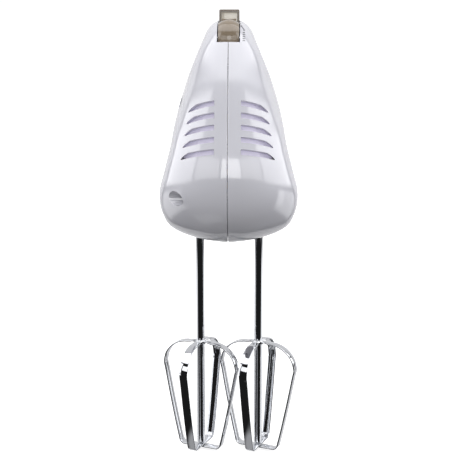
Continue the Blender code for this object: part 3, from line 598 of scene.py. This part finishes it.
moulded_finish = finish_group(
    "moulded_finish", ("Colour", "Deep Colour"), ("Gloss Roughness", "Wear", "Waviness", "Grain Size")
)
given = add_node(moulded_finish, "NodeGroupInput").outputs
place = add_node(moulded_finish, "ShaderNodeTexCoord").outputs["Object"]
drift = add_node(moulded_finish, "ShaderNodeTexNoise", {"Vector": place, "Scale": 26.0, "Detail": 3.0})
tone = add_node(
    moulded_finish, "ShaderNodeMix",
    {"Factor": drift.outputs["Fac"], "A": given["Colour"], "B": given["Deep Colour"]}, data_type="RGBA",
)
stretched = add_node(moulded_finish, "ShaderNodeMapping", {"Vector": place, "Scale": (900.0, 900.0, 60.0)})
hairlines = add_node(
    moulded_finish, "ShaderNodeTexNoise", {"Vector": stretched.outputs[0], "Scale": 1.0, "Detail": 2.0}
)
hair_mask = add_node(
    moulded_finish, "ShaderNodeMapRange",
    {"Value": hairlines.outputs["Fac"], "From Min": 0.60, "From Max": 0.72},
)
wear_amount = maths(moulded_finish, "MULTIPLY", hair_mask.outputs["Result"], given["Wear"])
rough = maths(moulded_finish, "ADD", given["Gloss Roughness"], wear_amount)
grain = add_node(
    moulded_finish, "ShaderNodeTexNoise", {"Vector": place, "Scale": given["Grain Size"], "Detail": 2.0}
)
grain_height = maths(moulded_finish, "MULTIPLY", grain.outputs["Fac"], given["Waviness"])
add_node(
    moulded_finish, "NodeGroupOutput",
    {"Colour": tone.outputs["Result"], "Roughness": rough, "Height": grain_height},
)


def finished_material(name, group, values, bump, strength):
    """A material whose Principled shader takes its colour, roughness and relief from a finish group."""
    material = bpy.data.materials.new(name)
    material.use_nodes = True
    tree = material.node_tree
    shader = tree.nodes["Principled BSDF"]
    finish = add_node(tree, "ShaderNodeGroup", node_tree=group)
    for name_in, value in values.items():
        finish.inputs[name_in].default_value = value
    relief = add_node(
        tree, "ShaderNodeBump", {"Height": finish.outputs["Height"], "Distance": bump, "Strength": strength}
    )
    tree.links.new(finish.outputs["Colour"], shader.inputs["Base Color"])
    tree.links.new(finish.outputs["Roughness"], shader.inputs["Roughness"])
    tree.links.new(relief.outputs["Normal"], shader.inputs["Normal"])
    return material, shader


COAT_ROUGHNESS, MOULDED_RELIEF = 0.04, 0.6


def moulded_plastic(name, colour, deep_colour, roughness, wear, waviness, grain_size, coat=0.0, bump=0.0002):
    """A plastic or rubber with the shared moulded finish."""
    values = {"Colour": (*colour, 1.0), "Deep Colour": (*deep_colour, 1.0), "Gloss Roughness": roughness,
              "Wear": wear, "Waviness": waviness, "Grain Size": grain_size}
    material, shader = finished_material(name, moulded_finish, values, bump, MOULDED_RELIEF)
    shader.inputs["Coat Weight"].default_value = coat
    shader.inputs["Coat Roughness"].default_value = COAT_ROUGHNESS
    return material


gloss_white = moulded_plastic(
    "gloss_white_shell", (0.64, 0.64, 0.685), (0.61, 0.61, 0.655), 0.12, 0.05, 0.5, 60.0, coat=1.0
)
for side_name, side in (("left", -1.0), ("right", 1.0)):
    posts = carve(
        smooth_mesh("posts", join(shell_posts(side))),
        [("INTERSECT", smooth_mesh("envelope", half_envelope(side)))],
    )
    shell_mesh = carve(
        smooth_mesh(f"{side_name}_half_shell", half_shell(side)),
        [("UNION", posts), ("DIFFERENCE", smooth_mesh("openings", join(shell_openings(side))))],
    )
    shell_mesh.set_sharp_from_angle(angle=math.radians(SHELL_SHARP_DEGREES))
    place_piece(
        f"{side_name}_half_shell", shell_mesh, gloss_white, "housing", [f"{side_name}_shell"]
    )


# Vent screens: two white splash guards clipped in behind the slots. They are what shows through the slots.
# They carry a faint painted glow, an emission that stands in for light coming through the thin white wall
# round them.
inner_white = moulded_plastic(
    "inner_white_guard", (0.74, 0.71, 0.82), (0.68, 0.65, 0.77), 0.45, 0.1, 0.4, 900.0
)
PAINTED_GLOW_COLOUR, PAINTED_GLOW_STRENGTH = (0.80, 0.74, 1.0, 1.0), 0.13
guard_shader = inner_white.node_tree.nodes["Principled BSDF"]
# Painted glow: the guards emit a little light of their own, though they are no lamp.
guard_shader.inputs["Emission Color"].default_value = PAINTED_GLOW_COLOUR
guard_shader.inputs["Emission Strength"].default_value = PAINTED_GLOW_STRENGTH
shown_nodes = frame["nodes"]


def finish_nodes(material, *names):
    """Gives CAD nodes that stay in view their finished material."""
    for name in names:
        node = shown_nodes[name]
        for number in range(len(node.data.materials)):
            node.material_slots[number].material = material


finish_nodes(inner_white, "left_vent_screen", "right_vent_screen")


# Speed scale: a dot, an arrow stroke and a row of short dashes pad-printed in dark ink on the right half,
# beside the dial. Each mark is a thin film of ink that follows the moulding.
SCALE_X, SCALE_TOP_H, DASH_PITCH, DASH_COUNT = (8.9, 10.5), 130.0, 1.3, 4
INK_LIFT, INK_STEPS = 0.00004, 4
BEFORE_NOSE_Y = -90.0
# Each mark: where it starts and ends, as (x, h), and how thick its line is.
marks = [((7.6, 135.6), (8.6, 135.6), 0.8), ((8.3, 134.9), (9.7, 133.5), 0.7)]
marks += [((9.2, 133.0), (10.3, 133.0), 0.6), ((9.0, 131.3), (10.2, 131.3), 0.6)]
for step in range(DASH_COUNT):
    dash_h = SCALE_TOP_H - DASH_PITCH * step
    marks.append(((SCALE_X[0], dash_h), (SCALE_X[1], dash_h), 0.45))
right_half = bpy.data.objects["right_half_shell"]
right_surface = BVHTree.FromObject(right_half, bpy.context.evaluated_depsgraph_get())
scale = bmesh.new()
for (start_x, start_h), (end_x, end_h), thick in marks:
    rows = []
    for step in range(INK_STEPS + 1):
        share = step / INK_STEPS
        x = start_x + (end_x - start_x) * share
        h = start_h + (end_h - start_h) * share
        row = []
        for shift in (-thick / 2.0, thick / 2.0):
            origin = body_point(x, BEFORE_NOSE_Y, h + shift)
            spot, normal, _, _ = right_surface.ray_cast(origin, Vector((0.0, 1.0, 0.0)))
            row.append(scale.verts.new(spot + normal * INK_LIFT))
        rows.append(row)
    for near, far in zip(rows, rows[1:]):
        scale.faces.new((near[0], far[0], far[1], near[1]))
scale_mesh = bpy.data.meshes.new("speed_scale")
scale.to_mesh(scale_mesh)
scale.free()
scale_ink = moulded_plastic("printed_ink", (0.02, 0.02, 0.022), (0.05, 0.05, 0.055), 0.35, 0.3, 0.3, 2500.0)
place_piece("speed_scale", scale_mesh, scale_ink, "housing")


# Metal finish, shared by the plated and the plain metal pieces: fine hairlines from polishing or rolling,
# and a slow drift of tarnish. Each metal gives it its own colours and strengths.
metal_finish = finish_group("metal_finish", ("Colour", "Tarnish"), ("Smooth", "Dull", "Hairlines"))
given = add_node(metal_finish, "NodeGroupInput").outputs
place = add_node(metal_finish, "ShaderNodeTexCoord").outputs["Object"]
patches = add_node(metal_finish, "ShaderNodeTexNoise", {"Vector": place, "Scale": 70.0, "Detail": 4.0})
tarnish = soft_step(metal_finish, patches.outputs["Fac"], 0.52, 0.78)
tone = add_node(
    metal_finish, "ShaderNodeMix", {"Factor": tarnish, "A": given["Colour"], "B": given["Tarnish"]},
    data_type="RGBA",
)
stretched = add_node(metal_finish, "ShaderNodeMapping", {"Vector": place, "Scale": (2600.0, 2600.0, 90.0)})
polish = add_node(
    metal_finish, "ShaderNodeTexNoise", {"Vector": stretched.outputs[0], "Scale": 1.0, "Detail": 2.0}
)
lines = polish.outputs["Fac"]
spread = add_node(
    metal_finish, "ShaderNodeMix",
    {"Factor": maths(metal_finish, "MULTIPLY", lines, tarnish), "A": given["Smooth"], "B": given["Dull"]},
)
add_node(
    metal_finish, "NodeGroupOutput",
    {"Colour": tone.outputs["Result"], "Roughness": spread.outputs["Result"],
     "Height": maths(metal_finish, "MULTIPLY", lines, given["Hairlines"])},
)


def metal(name, colour, tarnish_colour, smooth, dull, hairline_depth, bump=0.00003, strength=0.4):
    """A bare or plated metal with the shared metal finish."""
    values = {"Colour": (*colour, 1.0), "Tarnish": (*tarnish_colour, 1.0), "Smooth": smooth, "Dull": dull,
              "Hairlines": hairline_depth}
    material, shader = finished_material(name, metal_finish, values, bump, strength)
    shader.inputs["Metallic"].default_value = 1.0
    return material


# Screws, springs, pins, shaft, spindles and bearing brackets: plain bright steel, turned, wound or pressed,
# and left as made. They keep their own solids, and only the screw heads show, at the foot of their recesses.
plain_steel = metal("plain_steel_finish", (0.56, 0.56, 0.58), (0.40, 0.40, 0.41), 0.24, 0.5, 0.6)
record = frame["record"]
node_slots = {piece["node"]: piece["material_slot"] for piece in record["subparts"]}


def nodes_in(slot_name):
    return [name for name, slot_of in node_slots.items() if slot_of == slot_name]


finish_nodes(plain_steel, *nodes_in("plain_steel"))


# Heel pad and cord gland: soft grey rubber with a dull moulded skin. The pad is the mixer's foot when it
# stands on its heel, and the gland holds the cord's inlet.
soft_rubber = moulded_plastic(
    "grey_rubber_skin", (0.075, 0.075, 0.08), (0.11, 0.11, 0.115), 0.62, 0.15, 1.0, 2400.0, bump=0.0001
)
finish_nodes(soft_rubber, *nodes_in("grey_rubber"))


# Speed dial: a crowned taupe thumb wheel with a raised pointer ridge, moulded in one glossy piece. It turns
# on a steel pin held between the halves.
DIAL_RADIUS, DIAL_CROWN, DIAL_HALF_WIDTH = 12.6, 2.6, 6.7
RIDGE_HALF_LENGTH, RIDGE_HALF_WIDTH, RIDGE_TILT = 4.6, 0.7, math.radians(-6.0)
gloss_taupe = moulded_plastic(
    "gloss_taupe_control", (0.245, 0.196, 0.140), (0.215, 0.170, 0.120), 0.16, 0.08, 0.4, 160.0, coat=0.6
)
crown = [(AXLE_HOLE_RADIUS, -DIAL_HALF_WIDTH), (DIAL_RADIUS - DIAL_CROWN - 0.5, -DIAL_HALF_WIDTH)]
crown += [
    (DIAL_RADIUS - DIAL_CROWN * share**2, DIAL_HALF_WIDTH * share)
    for share in (-0.985, -0.96, -0.85, -0.7, -0.5, -0.25, 0.0, 0.25, 0.5, 0.7, 0.85, 0.96, 0.985)
]
crown += [(DIAL_RADIUS - DIAL_CROWN - 0.5, DIAL_HALF_WIDTH), (AXLE_HOLE_RADIUS, DIAL_HALF_WIDTH)]
dial_shape = turned(crown, "X", (0.0, DIAL_Y, DIAL_H), 128, ring=True)
ridge = block(
    (-RIDGE_HALF_LENGTH, -RIDGE_HALF_WIDTH, DIAL_RADIUS - 3.0),
    (RIDGE_HALF_LENGTH, RIDGE_HALF_WIDTH, DIAL_RADIUS + 0.3), 0.28,
)
ridge.transform(Matrix.Translation((0.0, DIAL_Y, DIAL_H)) @ Matrix.Rotation(RIDGE_TILT, 4, "X"))
dial_mesh = carve(smooth_mesh("thumb_dial", dial_shape), [("UNION", smooth_mesh("ridge", ridge))])
dial_mesh.set_sharp_from_angle(angle=math.radians(35.0))
place_piece("thumb_dial", dial_mesh, gloss_taupe, "dial", ["speed_dial"])


# Eject key: a dark taupe push key at the end of the handle, moulded in one, with a pale glossy pad let into
# its front. It stands on the ejector's plate inside the nose.
KEY_HALF, KEY_FRONT_Y, KEY_BACK_Y, KEY_LOW_H, KEY_TOP_H = 6.6, -2.2, 3.6, 129.0, 147.0
POCKET_EDGE, POCKET_FLOOR_Y, POCKET_LOW_H, POCKET_TOP_EDGE = 1.2, -1.4, 131.0, 1.4
PAD_EDGE, PAD_Y, PAD_LOW_H, PAD_TOP_EDGE = 1.35, (-1.75, -1.42), 131.15, 1.55
dark_taupe = moulded_plastic(
    "dark_taupe_key", (0.130, 0.100, 0.068), (0.105, 0.080, 0.055), 0.2, 0.1, 0.4, 200.0, coat=0.5
)
key_block = block((-KEY_HALF, KEY_FRONT_Y, KEY_LOW_H), (KEY_HALF, KEY_BACK_Y, KEY_TOP_H), 0.9, 5)
key_pocket = block(
    (-KEY_HALF + POCKET_EDGE, -6.0, POCKET_LOW_H),
    (KEY_HALF - POCKET_EDGE, POCKET_FLOOR_Y, KEY_TOP_H - POCKET_TOP_EDGE), 0.25, 2,
)
key_mesh = carve(smooth_mesh("push_key", key_block), [("DIFFERENCE", smooth_mesh("pocket", key_pocket))])
key_mesh.set_sharp_from_angle(angle=math.radians(40.0))
place_piece("push_key", key_mesh, dark_taupe, "ejector", ["eject_key"])
cream_pad = moulded_plastic(
    "cream_key_pad", (0.56, 0.52, 0.44), (0.48, 0.44, 0.36), 0.14, 0.08, 0.6, 120.0, coat=0.8
)
pad_block = block(
    (-KEY_HALF + PAD_EDGE, PAD_Y[0], PAD_LOW_H),
    (KEY_HALF - PAD_EDGE, PAD_Y[1], KEY_TOP_H - PAD_TOP_EDGE), 0.14, 3,
)
place_piece("key_pad", smooth_mesh("key_pad", pad_block), cream_pad, "ejector")


# Inner mouldings: gears, gear frame, cover, ejector, fan and cord clamp in natural nylon, satin and a
# little translucent looking, and the switch and board in green-black moulding.
natural_nylon = moulded_plastic(
    "natural_nylon_finish", (0.66, 0.63, 0.54), (0.60, 0.57, 0.47), 0.42, 0.15, 0.7, 700.0
)
finish_nodes(natural_nylon, *nodes_in("natural_nylon"))
board_green = moulded_plastic("board_finish", (0.03, 0.12, 0.06), (0.02, 0.08, 0.045), 0.4, 0.2, 0.8, 1500.0)
finish_nodes(board_green, *nodes_in("board_plastic"))


# Motor metals: enamelled copper windings, porous sintered bearings, stacked core sheets and pressed carbon.
# The windings show their turns and the core its sheets as fine lines across them.
def lined_metal(name, colour, dark, smooth, lines_per_metre, axis):
    """A metal whose surface is made of many thin layers or turns, seen as fine dark grooves."""
    material = metal(name, colour, dark, smooth, 0.6, 0.4)
    tree = material.node_tree
    shader = tree.nodes["Principled BSDF"]
    place_here = add_node(tree, "ShaderNodeTexCoord").outputs["Object"]
    bands = add_node(
        tree, "ShaderNodeTexWave", {"Vector": place_here, "Scale": lines_per_metre, "Distortion": 0.4},
        bands_direction=axis,
    )
    shade = add_node(
        tree, "ShaderNodeMix",
        {"Factor": bands.outputs["Fac"], "A": (*dark, 1.0), "B": (*colour, 1.0)}, data_type="RGBA",
    )
    groove = add_node(
        tree, "ShaderNodeBump", {"Height": bands.outputs["Fac"], "Distance": 0.0002, "Strength": 0.7}
    )
    tree.links.new(shade.outputs["Result"], shader.inputs["Base Color"])
    tree.links.new(groove.outputs["Normal"], shader.inputs["Normal"])
    return material


winding_copper = lined_metal("winding_copper_turns", (0.66, 0.27, 0.11), (0.30, 0.10, 0.04), 0.3, 300.0, "X")
finish_nodes(winding_copper, *nodes_in("winding_copper"))
core_sheets = lined_metal("core_sheet_stack", (0.34, 0.34, 0.36), (0.16, 0.16, 0.17), 0.38, 420.0, "Y")
finish_nodes(core_sheets, *nodes_in("core_lamination"))
sintered_bronze = metal("sintered_bronze_finish", (0.60, 0.42, 0.20), (0.38, 0.26, 0.12), 0.36, 0.7, 0.9)
finish_nodes(sintered_bronze, *nodes_in("sintered_bronze"))
pressed_carbon = moulded_plastic(
    "pressed_carbon", (0.02, 0.02, 0.022), (0.04, 0.04, 0.042), 0.6, 0.3, 1.0, 2600.0
)
finish_nodes(pressed_carbon, *nodes_in("brush_carbon"))


# Socket rings: two white mouldings with the shells' gloss, pressed into the underside, one round each
# beater's hole. They keep their own solids.
finish_nodes(gloss_white, "left_socket_ring", "right_socket_ring")


# Beaters: a straight steel rod with two flat strips bent round it, welded on at the top and crossing under
# its end. All of it is polished and chrome plated. Each strip is pinched narrow where it meets the rod.
ROD_RADIUS, ROD_TOP_H = 2.8, 30.0
CAGE_TOP_H, CAGE_DEPTH, CAGE_RADIUS, CAGE_FOOT_RADIUS = -77.5, 75.0, 27.4, 15.4
STRIP_WIDTH, STRIP_THICKNESS, STRIP_PINCH, STRIP_ROOT_RADIUS = 6.0, 1.0, 0.55, 2.6
CROSSING_DROP = 1.4
BEAD_RADIUS, BEAD_THICKNESS, BEAD_HALF_HEIGHT, BEAD_SAG, BEAD_STEPS = 2.9, 0.75, 1.5, 0.3, 16
FOOT_H = CAGE_TOP_H - CAGE_DEPTH
SHOULDER_H = CAGE_TOP_H - 18.0
CAGE_PHASE = math.radians(22.5)
chrome = metal(
    "polished_chrome", (0.66, 0.67, 0.69), (0.60, 0.61, 0.64), 0.035, 0.10, 0.10, bump=0.00001, strength=0.1
)


def smooth_path(points, steps=6):
    """Catmull-Rom through points, with each end run on straight."""
    points = [np.array(point) for point in points]
    ends = [2.0 * points[0] - points[1], *points, 2.0 * points[-1] - points[-2]]
    path = []
    for before, near, far, after in zip(ends, ends[1:], ends[2:], ends[3:]):
        for step in range(steps):
            share = step / steps
            path.append(
                0.5 * (2.0 * near + (far - before) * share
                       + (2.0 * before - 5.0 * near + 4.0 * far - after) * share**2
                       + (3.0 * near - before - 3.0 * far + after) * share**3)
            )
    return [*path, points[-1]]


def strip_line(drop):
    """Half of one strip, as distance from the axis and height, from the rod out and down to under its end."""
    points = [(STRIP_ROOT_RADIUS, CAGE_TOP_H - 0.5), (5.2, CAGE_TOP_H), (8.7, CAGE_TOP_H - 0.6)]
    for step in range(6):
        a = math.radians(82.0 - 15.0 * step)
        points.append((9.4 + 18.0 * math.cos(a), SHOULDER_H + 17.4 * math.sin(a)))
    points += [(CAGE_RADIUS, SHOULDER_H), (CAGE_RADIUS - 1.2, SHOULDER_H - 5.5)]
    points += [(CAGE_RADIUS - 4.4, SHOULDER_H - 22.0), (CAGE_RADIUS - 8.4, SHOULDER_H - 41.0)]
    for step in range(5):
        a = math.radians(-8.0 - 82.0 * step / 4.0)
        points.append((CAGE_FOOT_RADIUS - 3.6 + 4.0 * math.cos(a), FOOT_H + 4.0 - drop + 4.0 * math.sin(a)))
    points.append((0.0, FOOT_H - drop))
    return smooth_path(points)


def strip_section():
    """A flat section with rounded edges, as (across, through)."""
    half, radius = STRIP_WIDTH / 2.0, STRIP_THICKNESS / 2.0
    outline = []
    for side in (1.0, -1.0):
        for step in range(7):
            a = math.pi / 2.0 - math.pi * step / 6.0
            across = half - radius * 0.7 + radius * 0.7 * math.cos(a)
            outline.append((side * across, side * radius * math.sin(a)))
    return outline


def beater_strip(x, direction, drop):
    """One whole strip, from the rod out, down, across under the rod's end and back up the other side."""
    half = strip_line(drop)
    path = [tuple(point) for point in half] + [(-radius, h) for radius, h in reversed(half[:-1])]
    out = Vector((math.cos(direction), math.sin(direction), 0.0))
    flat = Vector((-math.sin(direction), math.cos(direction), 0.0))
    shape = bmesh.new()
    rings = []
    for index, (radius, h) in enumerate(path):
        before, after = path[max(index - 1, 0)], path[min(index + 1, len(path) - 1)]
        run = Vector((after[0] - before[0], 0.0, after[1] - before[1])).normalized()
        through = out * -run.z + Vector((0.0, 0.0, run.x))
        near_rod = max(0.0, 1.0 - (abs(radius) - STRIP_ROOT_RADIUS) / 6.5) if h > SHOULDER_H else 0.0
        pinch = 1.0 - (1.0 - STRIP_PINCH) * near_rod**1.5
        centre = Vector((x, 0.0, h)) + out * radius
        rings.append([
            shape.verts.new(centre + flat * (across * pinch) + through * thick)
            for across, thick in strip_section()
        ])
    for near, far in zip(rings, rings[1:]):
        for corner in range(len(near)):
            after = (corner + 1) % len(near)
            shape.faces.new((near[corner], near[after], far[after], far[corner]))
    shape.faces.new(rings[0])
    shape.faces.new(rings[-1])
    return outward(shape)


for name, x in (("left", -BEATER_X), ("right", BEATER_X)):
    body = f"{name}_beater"
    rod = turned(
        [(ROD_RADIUS - 0.6, FOOT_H + 1.2), (ROD_RADIUS, FOOT_H + 1.8), (ROD_RADIUS, -60.0),
         (ROD_RADIUS, ROD_TOP_H - 2.0), (ROD_RADIUS - 0.4, ROD_TOP_H - 0.8), (ROD_RADIUS - 1.0, ROD_TOP_H)],
        "Z", (x, 0.0, 0.0), 96,
    )
    shaft = smooth_mesh(f"{body}_shaft", rod)
    place_piece(f"{body}_shaft", shaft, chrome, body, [f"{body}_rod"])
    bead_profile = []
    for step in range(BEAD_STEPS):
        a = 2.0 * math.pi * step / BEAD_STEPS
        bead_profile.append(
            (BEAD_RADIUS + BEAD_THICKNESS * math.cos(a), BEAD_HALF_HEIGHT * math.sin(a) - BEAD_SAG)
        )
    bead = turned(bead_profile, "Z", (x, 0.0, CAGE_TOP_H), 64, ring=True)
    for vertex in bead.verts:
        turn_at = math.atan2(vertex.co.y, vertex.co.x - x)
        vertex.co.z += 0.25 * math.sin(turn_at * 5.0) + 0.15 * math.sin(turn_at * 11.0 + 1.0)
    weld = smooth_mesh(f"{body}_weld", bead)
    place_piece(f"{body}_weld", weld, chrome, body, [f"{body}_hub"])
    first = math.pi * 1.5 - CAGE_PHASE
    for loop, direction, drop in (("loop", first, 0.0), ("cross_loop", first + math.pi / 2.0, CROSSING_DROP)):
        strip = smooth_mesh(f"{body}_{loop}_strip", beater_strip(x, direction, drop), 50.0)
        place_piece(f"{body}_{loop}_strip", strip, chrome, body, [f"{body}_{loop}"])
